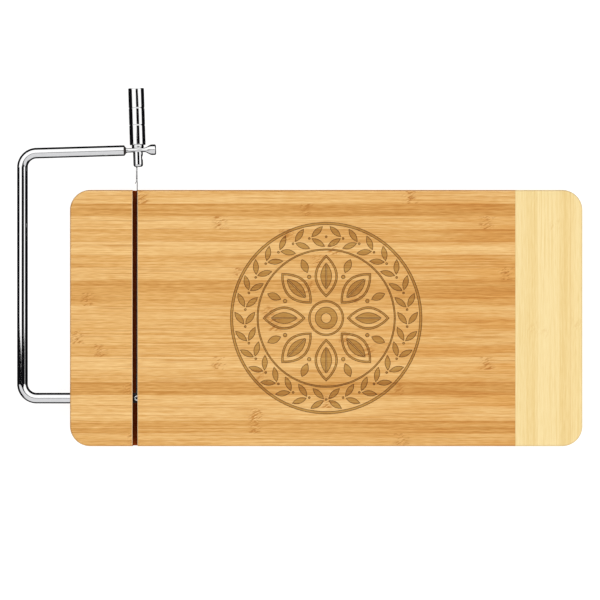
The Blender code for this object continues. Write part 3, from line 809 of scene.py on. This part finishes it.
def ornament_outlines():
    """A wreath of leaves round a rosette of petals."""
    outlines = [circle(0.0570, 96), circle(0.0556, 96), circle(0.0412, 80), circle(0.0404, 80)]
    leaf_pairs = 30
    for index in range(leaf_pairs):
        angle = 360 * index / leaf_pairs
        up_left = 1 if math.cos(math.radians(angle)) < 0 else -1
        outlines.append(turned_about(leaf(0.0088, 0.0032, 90 + 38 * up_left), angle, 0.0517))
        outlines.append(turned_about(leaf(0.0088, 0.0032, 90 - 38 * up_left), angle, 0.0452))
        outlines.append(turned_about(circle(0.0006, 12), angle + 180 / leaf_pairs, 0.0484))
    petals = 8
    for index in range(petals):
        angle = 360 * index / petals
        outlines.append(turned_about(leaf(0.0250, 0.0135, steps=14), angle, 0.0250))
        outlines.append(turned_about(leaf(0.0222, 0.0113, steps=14), angle, 0.0250))
        outlines.append(turned_about(half_leaf(0.0150, 0.0060, 1, 0.0006), angle, 0.0250))
        outlines.append(turned_about(half_leaf(0.0150, 0.0060, -1, 0.0006), angle, 0.0250))
        between = angle + 180 / petals
        outlines.append(turned_about(leaf(0.0085, 0.0042), between, 0.0335))
        outlines.append(turned_about(circle(0.0011, 14), between, 0.0265))
    outlines += [circle(0.0105, 40), circle(0.0095, 40), circle(0.0066, 32), circle(0.0030, 24)]
    return outlines


def ornament_cutter():
    """The ornament as a cutter with sloping walls, whose floor lies at the engraving's depth; the walls are
    painted darker, as shade.
    """
    reach = 0.001
    mesh = outline_mesh("ornament", ornament_outlines(), reach, ENGRAVING_DEPTH, inset=ENGRAVING_DEPTH / 2)
    mesh.materials.clear()
    mesh.materials.append(ENGRAVED)
    mesh.materials.append(ENGRAVED_EDGE_SHADE)
    for face in mesh.polygons:
        # The walls get the darker material, as painted shade along the engraving's edges
        face.material_index = 0 if abs(face.normal.z) > 0.9 else 1
    centre = Vector(((LEFT + RIGHT) / 2, (FRONT + BACK) / 2, TOP - ENGRAVING_DEPTH + reach))
    mesh.transform(Matrix.Translation(centre))
    return mesh


def make_board():
    blank = board_blank()
    band = combine(blank.copy(), [with_material(upright_across(band_side(GLUE_LINE)), NATURAL)], "INTERSECT")
    mesh = shade_round(with_material(band, NATURAL))
    end_band = piece("end_band", mesh, NATURAL, "board", ["board_end_band"])

    bore_end = BAR_HIGH.x + 0.0003
    bore_start = (LEFT - CUT_PAST, PIVOT.y, PIVOT.z)
    bore = drill_mesh(BAR_RADIUS + 0.00012, bore_start, (bore_end, PIVOT.y, PIVOT.z))
    cuts = [
        with_material(upright_across(band_side(0.0)), CARAMEL),
        slot_cutter(),
        # The bore's inside gets the same dark painted shade as the slot
        with_material(bore, RECESS_SHADE),
        ornament_cutter(),
    ]
    mesh = shade_round(combine(with_material(blank, CARAMEL), cuts))
    panel = piece("panel", mesh, CARAMEL, "board", ["board_panel"])

    # The chrome shows the studio alone, as in a photograph taken with the board masked off
    panel.visible_glossy = False
    end_band.visible_glossy = False


# ---------------------------------------------------------------- handle bar, in the pivot's frame


def bar_path():
    """The bar's centreline, from the pivot leg's tip to the shoulder beside the eye."""
    tip = BAR_HIGH.x - PIVOT.x
    across = EYE.x - PIVOT.x
    reach = EYE.y - PIVOT.y
    slope = math.tan(OPENING)
    bend_x = BAR_LOW.x + BAR_RADIUS - PIVOT.x + BEND_RADIUS
    arm_over_bend = reach + (bend_x - across) * slope
    lower = arc((bend_x, BEND_RADIUS), BEND_RADIUS, 270, 180, 32)
    upper_centre = (bend_x, arm_over_bend - BEND_RADIUS / math.cos(OPENING))
    upper = arc(upper_centre, BEND_RADIUS, 180, 90 + math.degrees(OPENING), 32)
    shoulder = (across - SHOULDER_FROM_EYE * math.cos(OPENING), reach - SHOULDER_FROM_EYE * math.sin(OPENING))

    path = [(tip, 0.0), (tip - TIP_CHAMFER, 0.0), (lower[0][0] + SUPPORT, 0.0)]
    path += lower + [(lower[-1][0], lower[-1][1] + SUPPORT), (upper[0][0], upper[0][1] - SUPPORT)]
    path += upper + [(upper[-1][0] + SUPPORT, upper[-1][1] + SUPPORT * slope), shoulder]
    return path


def bar_mesh():
    path = [(x, y, 0.0) for x, y in bar_path()]
    radii = [BAR_RADIUS - TIP_CHAMFER] + [BAR_RADIUS] * (len(path) - 1)
    mesh = tube_mesh("bar", path, BAR_RADIUS, ROUND_SIDES, radii)
    mesh.transform(PIVOT_FRAME)
    return mesh


def eye_section(along):
    """Half thickness, half width and squareness of the pressed eye, at a distance along the arm."""
    inside_bar = BAR_RADIUS * 0.998
    if along < 0.0:
        flatness = smooth_step((along + SHOULDER_FROM_EYE) / SHOULDER_LENGTH)
    else:
        flatness = 1.0 - smooth_step((along - FLARE_FROM_EYE) / FLARE_LENGTH)
    bulge = math.cos(min(1.0, abs(along) / SHOULDER_FROM_EYE) * math.pi / 2) ** 2
    half_thickness = inside_bar + (EYE_HALF_THICKNESS - inside_bar) * flatness
    half_width = inside_bar + (EYE_HALF_WIDTH - inside_bar) * max(bulge, EYE_NECK * flatness)
    return half_thickness, half_width, 2.0 + 2.5 * flatness


def eye_mesh():
    """A loft from the round bar, through the flat eye, to the round stub.

    The step down from the bar to the eye is painted near black, as a dark reflection.
    """
    start = -SHOULDER_FROM_EYE - 0.0015
    end = STUB_END_FROM_EYE - TIP_CHAMFER
    count = 110
    stations = [(start + (end - start) * i / count, 1.0) for i in range(count + 1)]
    for step in range(1, 7):
        angle = math.radians(15 * step)
        shrink = 1.0 - TIP_CHAMFER / BAR_RADIUS * (1.0 - math.cos(angle))
        stations.append((end + TIP_CHAMFER * math.sin(angle), shrink))
    work = bmesh.new()
    rings = []
    for along, scale in stations:
        half_thickness, half_width, power = eye_section(along)
        ring = []
        for side in range(ROUND_SIDES):
            angle = side * math.tau / ROUND_SIDES
            cosine = math.cos(angle)
            sine = math.sin(angle)
            across = math.copysign(abs(sine) ** (2.0 / power), sine) * half_width * scale
            through = math.copysign(abs(cosine) ** (2.0 / power), cosine) * half_thickness * scale
            ring.append(work.verts.new((along, across, through)))
        rings.append(ring)
    bridge_rings(work, rings)
    mesh = mesh_from("eye", work)
    mesh.materials.append(CHROME)
    # The step down to the eye gets the near-black steel, as a painted dark reflection
    mesh.materials.append(STEEL_PAINTED_DARK)
    for face in mesh.polygons:
        past_shoulder = face.center.x + SHOULDER_FROM_EYE
        face.material_index = 1 if 0.0 < past_shoulder < SHOULDER_LENGTH * 0.85 else 0
    mesh.transform(EYE_FRAME)
    return mesh


def eye_hole_cutter():
    """The eye's hole, widened at both faces of the plate by a small chamfer."""
    straight = EYE_HALF_THICKNESS - 0.0003
    flare = BAR_RADIUS
    wide = EYE_HOLE_RADIUS + flare - straight
    profile = [(0.0, flare), (wide, flare), (EYE_HOLE_RADIUS, straight)]
    mirrored = [(radius, -height) for radius, height in reversed(profile)]
    mesh = turned_mesh("eye_hole", profile + mirrored)
    mesh.transform(EYE_FRAME)
    return mesh


def seat_cutter():
    """A T in plan, open above: the bead sits in its wide part and the wire leaves by the slit."""
    left = -SLOT_WIDTH / 2 - SEAT_GAP
    bead = LOWER_BEAD_RADIUS + SEAT_GAP
    right = LOWER_BEAD_PAST_SLOT + bead
    slit = 2 * WIRE_RADIUS + SEAT_GAP
    reach = BAR_RADIUS + CUT_PAST
    outline = [
        (left, -reach),
        (right, -reach),
        (right, bead),
        (LOWER_BEAD_PAST_SLOT + slit, bead),
        (LOWER_BEAD_PAST_SLOT + slit, reach),
        (LOWER_BEAD_PAST_SLOT - slit, reach),
        (LOWER_BEAD_PAST_SLOT - slit, bead),
        (left, bead),
    ]
    mesh = outline_mesh("seat", [outline], (reach + SEAT_DEPTH) / 2)
    mesh.transform(PIVOT_FRAME @ Matrix.Translation((0, 0, (reach - SEAT_DEPTH) / 2)))
    return with_material(mesh, STEEL_PAINTED_DARK)


def land_cutter():
    """A flat milled beside the slit, which the wire is laid over on its way into the seat."""
    reach = BAR_RADIUS + CUT_PAST
    half = SLOT_WIDTH / 2 + SEAT_GAP
    mesh = box_mesh((-half, LOWER_BEAD_RADIUS, LAND_HEIGHT), (half, reach, reach))
    mesh.transform(PIVOT_FRAME)
    return with_material(mesh, STEEL_PAINTED_DARK)


def make_handle_bar():
    whole = combine(with_material(bar_mesh(), CHROME), [eye_mesh()], "UNION")
    cuts = [with_material(eye_hole_cutter(), CHROME), seat_cutter(), land_cutter()]
    mesh = shade_round(combine(whole, cuts))
    piece("bent_bar", mesh, CHROME, "handle", ["handle_bar"])


# ---------------------------------------------------------------- wire and its beads


def wire_end_path(bead_radius, tail):
    """Half a wire end in its own frame: the bead's centre is at the origin and the wire leaves along +X.

    It returns the points from the free tail, along the twist, round the bead and back along the twist to
    where the single wire starts. The loop lies in XY. tail is how far the tail's tip stands off sideways.
    """
    loop_radius = bead_radius - BEAD_GROOVE_DEPTH + LOOP_GAP + WIRE_RADIUS
    touch = math.degrees(math.acos(loop_radius / TWIST_FROM_BEAD))
    loop = [(x, y, 0.0) for x, y in arc((0.0, 0.0), loop_radius, 360 - touch, touch, 28)]
    steps = round(TWIST_TURNS * 12)
    going = []
    for step in range(steps + 1):
        angle = math.tau * TWIST_TURNS * step / steps
        x = TWIST_FROM_BEAD + 0.0006 + TWIST_LENGTH * step / steps
        going.append((x, WIRE_RADIUS * math.cos(angle), WIRE_RADIUS * math.sin(angle)))
    returning = [(x, -y, -z) for x, y, z in going]
    end_x, end_y, end_z = returning[-1]
    tail_tip = (end_x + 0.0009, end_y * tail, end_z * tail)
    tail_bend = (end_x + 0.0004, end_y * (1 + tail) / 2, end_z * (1 + tail) / 2)
    return [tail_tip, tail_bend] + returning[::-1] + loop + going


def make_wire():
    """One wire that loops round a bead at each end and is twisted back on itself."""
    start = PIVOT + Vector((LOWER_BEAD_PAST_SLOT, 0, 0))
    end = EYE_FRAME @ Vector((-UPPER_BEAD_SETBACK, 0, -UPPER_BEAD_FROM_EYE))
    along = (end - start).normalized()
    up = Vector((0, 0, 1))
    side = along.cross(up).normalized()
    lower_frame = Matrix((along, side, up)).transposed().to_4x4()
    lower_frame.translation = start
    upper_frame = Matrix((-along, up, side)).transposed().to_4x4()
    upper_frame.translation = end
    lower = [lower_frame @ Vector(point) for point in wire_end_path(LOWER_BEAD_RADIUS, tail=3.0)]
    upper = [upper_frame @ Vector(point) for point in wire_end_path(UPPER_BEAD_RADIUS, tail=4.0)]
    mesh = with_material(tube_mesh("wire", lower + upper[::-1], WIRE_RADIUS, 10), WIRE_STEEL)
    wire = piece("twisted_wire", mesh, WIRE_STEEL, "handle", ["cutting_wire"])
    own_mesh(wire)

    lower_bead = bead_mesh(LOWER_BEAD_RADIUS)
    lower_place = Matrix.Translation(start)
    piece("bead_lower", lower_bead, STAINLESS, "handle", ["wire_bead_lower"], lower_place)
    upper_bead = bead_mesh(UPPER_BEAD_RADIUS)
    upper_place = Matrix.Translation(end) @ EYE_TURN @ Matrix.Rotation(math.pi / 2, 4, "Y")
    piece("bead_upper", upper_bead, STAINLESS, "bolt", ["wire_bead_upper"], upper_place)


def bead_mesh(radius):
    """A small turned bead with a round groove for the wire and a hole through it."""
    rim = 0.00025
    groove_half_width = 0.00044
    groove = []
    for step in range(13):
        angle = math.radians(90 - 15 * step)
        depth = BEAD_GROOVE_DEPTH * math.cos(angle)
        groove.append((radius - depth, groove_half_width * math.sin(angle)))
    upper = [(BEAD_HOLE_RADIUS + 0.0001, BEAD_HALF_HEIGHT)]
    upper += arc((radius - rim, BEAD_HALF_HEIGHT - rim), rim, 90, 0, 4)
    lower = [(reach, -height) for reach, height in reversed(upper)]
    hole_half_height = BEAD_HALF_HEIGHT - 0.0001
    inside = [(BEAD_HOLE_RADIUS, -hole_half_height), (BEAD_HOLE_RADIUS, hole_half_height)]
    return with_material(turned_mesh("bead", upper + groove + lower + inside, 48, closed=True), STAINLESS)


# ---------------------------------------------------------------- bolt, washer and grip, in the eye's frame


def thread_mesh(length, radius, depth, pitch, sides=24, rings_per_turn=8):
    """A right-hand screw thread up from Z = 0: rings of points whose radius follows the helix."""
    step = pitch / rings_per_turn
    work = bmesh.new()
    rings = []
    for ring in range(round(length / step) + 1):
        height = ring * step
        row = []
        for side in range(sides):
            turn = side / sides
            crest = 1.0 - abs(2.0 * ((height / pitch - turn) % 1.0) - 1.0)
            reach = radius - depth * (1.0 - crest)
            angle = turn * math.tau
            row.append(work.verts.new((reach * math.cos(angle), reach * math.sin(angle), height)))
        rings.append(row)
    bridge_rings(work, rings)
    return mesh_from("thread", work)


def make_tension_bolt():
    end = GRIP_NEAR + BARREL_IN_GRIP
    dome = arc((BARREL_RADIUS - BARREL_DOME, BARREL_DOME - BARREL_REACH), BARREL_DOME, 0, -90, 10)
    support = (BARREL_RADIUS, BARREL_DOME - BARREL_REACH + SUPPORT)
    profile = [(0.0, end), (BARREL_RADIUS, end), support] + dome + [(0.0, -BARREL_REACH)]
    barrel = turned_mesh("barrel", profile)
    thread = thread_mesh(THREAD_LENGTH, THREAD_RADIUS, THREAD_DEPTH, THREAD_PITCH)
    thread.transform(Matrix.Translation((0, 0, end - 0.001)))
    bolt = combine(barrel, [thread], "UNION")

    outside = BARREL_RADIUS + CUT_PAST
    back = UPPER_BEAD_SETBACK + BEAD_HALF_HEIGHT + SEAT_GAP
    window_start = (-back, 0, -UPPER_BEAD_FROM_EYE)
    window = drill_mesh(UPPER_BEAD_RADIUS + SEAT_GAP, window_start, (outside, 0, -UPPER_BEAD_FROM_EYE))
    half = 2 * WIRE_RADIUS + SEAT_GAP
    slit = box_mesh((-back, -half, -BARREL_REACH - CUT_PAST), (outside, half, -UPPER_BEAD_FROM_EYE))
    mesh = shade_round(with_material(combine(bolt, [window, slit]), CHROME))
    piece("draw_bolt", mesh, CHROME, "bolt", ["tension_bolt"], EYE_FRAME)


def make_washer():
    inner = BARREL_RADIUS + 0.0001
    outer = WASHER_RADIUS - WASHER_ROUNDING
    far_edge = arc((outer, WASHER_FAR - WASHER_ROUNDING), WASHER_ROUNDING, 90, 0, 6)
    near_edge = arc((outer, WASHER_NEAR + WASHER_ROUNDING), WASHER_ROUNDING, 0, -90, 6)
    profile = [(inner, WASHER_FAR)] + far_edge + near_edge + [(inner, WASHER_NEAR)]
    mesh = with_material(turned_mesh("washer", profile, closed=True), CHROME)
    piece("washer", mesh, CHROME, "grip", ["grip_washer"], EYE_FRAME)


def grip_profile():
    """The grip from its far end down its outside, then up its counterbore and bore."""
    far = GRIP_NEAR + GRIP_LENGTH
    outer = GRIP_RADIUS - GRIP_ROUNDING
    profile = [(0.0, far)] + arc((outer, far - GRIP_ROUNDING), GRIP_ROUNDING, 90, 0, 5)
    profile += [(GRIP_RADIUS, far - GRIP_ROUNDING - SUPPORT)]
    for middle in (far - GROOVE_FROM_END, GRIP_NEAR + GROOVE_FROM_END):
        profile += [
            (GRIP_RADIUS, middle + GROOVE_HALF_WIDTH),
            (GRIP_RADIUS - GROOVE_DEPTH * 0.9, middle + GROOVE_HALF_WIDTH * 0.2),
            (GRIP_RADIUS - GROOVE_DEPTH, middle),
            (GRIP_RADIUS - GROOVE_DEPTH * 0.9, middle - GROOVE_HALF_WIDTH * 0.2),
            (GRIP_RADIUS, middle - GROOVE_HALF_WIDTH),
        ]
    profile += [(GRIP_RADIUS, GRIP_NEAR + GRIP_ROUNDING + SUPPORT)]
    profile += arc((outer, GRIP_NEAR + GRIP_ROUNDING), GRIP_ROUNDING, 0, -90, 5)
    counterbore = BARREL_RADIUS + 0.0001
    bore = THREAD_RADIUS + 0.0001
    shelf = GRIP_NEAR + 0.005
    end = GRIP_NEAR + 0.019
    drill_point = end + bore / 2
    profile += [(counterbore, GRIP_NEAR), (counterbore, shelf), (bore, shelf), (bore, end)]
    return profile + [(0.0, drill_point)]


def make_grip():
    mesh = with_material(turned_mesh("grip_body", grip_profile(), 96), CHROME)
    piece("grip_body", mesh, CHROME, "grip", ["grip"], EYE_FRAME)


# ---------------------------------------------------------------- feet


def foot_mesh():
    """A moulded rubber foot with a rounded rim, a ring groove and a recess for the screw's head."""
    top = BASE - 0.00005
    rim = 0.0009
    hole = SCREW_RADIUS + 0.0002
    lower = FOOT_RADIUS - 0.0008
    profile = [(hole, top), (FOOT_RADIUS - 0.0002, top), (FOOT_RADIUS, top - 0.0002)]
    profile += [(FOOT_RADIUS, top - 0.0008)]
    profile += arc((lower - rim, rim), rim, 0, -90, 6)
    for radius in (0.0051, 0.0044):
        profile += [(radius, 0.0), (radius - 0.0001, 0.0002)]
        profile += [(radius - 0.0003, 0.0002), (radius - 0.0004, 0.0)]
    profile += [(FOOT_RECESS_RADIUS + 0.0002, 0.0), (FOOT_RECESS_RADIUS, 0.0002)]
    profile += [(FOOT_RECESS_RADIUS, FOOT_RECESS_DEPTH), (hole, FOOT_RECESS_DEPTH)]
    return with_material(turned_mesh("foot", profile, closed=True), RUBBER)


def screw_mesh():
    """A pan head screw that points up, with a cross recess."""
    seat = FOOT_RECESS_DEPTH - 0.0001
    crown = seat - SCREW_HEAD_HEIGHT
    rim = seat - 0.0003
    head = [(0.0, seat), (SCREW_HEAD_RADIUS, seat), (SCREW_HEAD_RADIUS, rim)]
    for step in range(1, 7):
        angle = math.radians(15 * step)
        head.append((SCREW_HEAD_RADIUS * math.cos(angle), rim - (rim - crown) * math.sin(angle)))
    blank = turned_mesh("head", head, 48)
    thread = thread_mesh(BASE + 0.0080 - seat, SCREW_RADIUS, 0.0004, SCREW_PITCH)
    thread.transform(Matrix.Translation((0, 0, seat - 0.0004)))
    solid = combine(blank, [thread], "UNION")
    bars = []
    for x, y in [(0.0016, 0.0003), (0.0003, 0.0016)]:
        bars.append(box_mesh((-x, -y, crown - 0.001), (x, y, crown + 0.0008)))
    return shade_round(with_material(combine(solid, bars), STAINLESS))


def make_feet():
    foot = foot_mesh()
    screw = screw_mesh()
    for ending in ("front_left", "front_right", "back_left", "back_right"):
        low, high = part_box(f"foot_{ending}")
        place = Matrix.Translation(((low.x + high.x) / 2, (low.y + high.y) / 2, 0))
        piece(f"rubber_{ending}", foot.copy(), RUBBER, "board", [f"foot_{ending}"], place)
        node = f"foot_screw_{ending}"
        piece(f"screw_{ending}", screw.copy(), STAINLESS, "board", [node], place)


# ---------------------------------------------------------------- stage, light and camera


def make_floor():
    """A plain pale floor that glows, so that it stays near white round the object."""
    bpy.ops.mesh.primitive_plane_add(size=8.0, location=(0, 0, 0))
    floor = bpy.context.object
    floor.name = "floor"
    nodes = Surface("floor_pale", Base_Color=(0.25, 0.25, 0.25), Roughness=0.9, Specular_IOR_Level=0.0)
    nodes.set(nodes.inputs["Emission Color"], (1.0, 1.0, 1.0))
    nodes.set(nodes.inputs["Emission Strength"], 0.88)
    floor.data.materials.append(nodes.material)
    floor.visible_glossy = False


def make_tent():
    """A white tent above the horizon, dark below it, with the flags and the pale card that chrome shows."""
    world = bpy.data.worlds.new("studio")
    bpy.context.scene.world = world
    world.use_nodes = True
    nodes = Nodes(world.node_tree)
    direction = nodes.split(nodes.node("ShaderNodeTexCoord", output="Generated"))
    to_right = nodes.degrees(direction[0], direction[2])
    to_back = nodes.degrees(direction[1], direction[2])

    def flag(across, deep):
        """1 inside a rectangle of angles, each given as low, high and softness."""
        return nodes.math("MULTIPLY", nodes.window(to_right, *across), nodes.window(to_back, *deep))

    # The front half of the tent is greyer
    front = nodes.fade(to_back, FRONT_EDGE - 1, FRONT_EDGE + 1, 1.0, 0.0)
    tent = nodes.mix(front, (1.0, 1.0, 1.0), (0.66, 0.66, 0.67))

    # Dark flags by the camera. Each bar shows the one that its own tilt leads to: from the front, they
    # are for the lower end of the long leg, for the rest of the leg, and for the grip and the barrel
    low_flag = flag((-88, 55, 4), (-4, -1.05, 0.25))
    leg_flag = flag((-13, 38, 1), (-2.2, 2.6, 0.2))
    grip_flag = flag((-4, 33, 1), (2.6, 4.9, 0.3))
    flags = nodes.math("MAXIMUM", nodes.math("MAXIMUM", leg_flag, grip_flag), low_flag)
    tent = nodes.mix(flags, tent, (0.004, 0.004, 0.005))

    # Below the horizon it is dark, except close below it in front. At the sides and behind, and most of
    # all beside the board, the dark reaches higher
    level = nodes.math("SQRT", nodes.math("SUBTRACT", 1.0, nodes.math("POWER", direction[2], 2.0)))
    forward = nodes.math("DIVIDE", direction[1], level)
    in_front = nodes.fade(forward, -0.85, -0.6, 1.0, 0.0)
    apron = nodes.math("MULTIPLY", in_front, nodes.fade(direction[2], -0.20, -0.06))
    ground = nodes.mix(apron, (0.004, 0.004, 0.005), (0.60, 0.60, 0.61))
    to_side = nodes.fade(nodes.math("ABSOLUTE", direction[0]), 0.3, 0.5)
    by_board = nodes.math("MULTIPLY", nodes.window(direction[1], -0.05, 0.040, 0.01), to_side)
    raised = nodes.math("MULTIPLY_ADD", by_board, 0.22, 0.25)
    raised = nodes.math("MULTIPLY", raised, nodes.math("SUBTRACT", 1.0, in_front))
    above = nodes.fade(nodes.math("SUBTRACT", direction[2], raised), -0.02, 0.02)
    background = world.node_tree.nodes["Background"].inputs
    nodes.set(background["Color"], nodes.mix(above, ground, tent))
    background["Strength"].default_value = 1.08


def make_sun():
    """A large soft lamp from the front right, which the chrome doesn't show."""
    lamp = bpy.data.lights.new("soft_lamp", "SUN")
    lamp.energy = 0.85
    lamp.angle = math.radians(18)
    sun = bpy.data.objects.new("soft_lamp", lamp)
    sun.rotation_euler = Vector((0.45, -0.45, 0.8)).to_track_quat("Z", "Y").to_euler()
    sun.visible_glossy = False
    bpy.context.scene.collection.objects.link(sun)


def make_camera():
    """Straight down on the board from 2 m, with the whole handle in the frame."""
    distance = 2.0
    frame_width = 0.357
    camera = bpy.data.objects.new("camera", bpy.data.cameras.new("camera"))
    camera.data.sensor_width = 36.0
    camera.data.lens = camera.data.sensor_width * distance / frame_width
    camera.data.clip_start = 0.1
    low, high = CAD_BOX
    middle = (low + high) / 2
    camera.location = (middle.x + 0.0005, middle.y - 0.0198, TOP + distance)
    bpy.context.scene.collection.objects.link(camera)
    bpy.context.scene.camera = camera
    bpy.context.scene.view_settings.view_transform = "Standard"


make_board()
make_feet()
make_handle_bar()
make_wire()
make_tension_bolt()
make_washer()
make_grip()
make_floor()
make_tent()
make_sun()
make_camera()
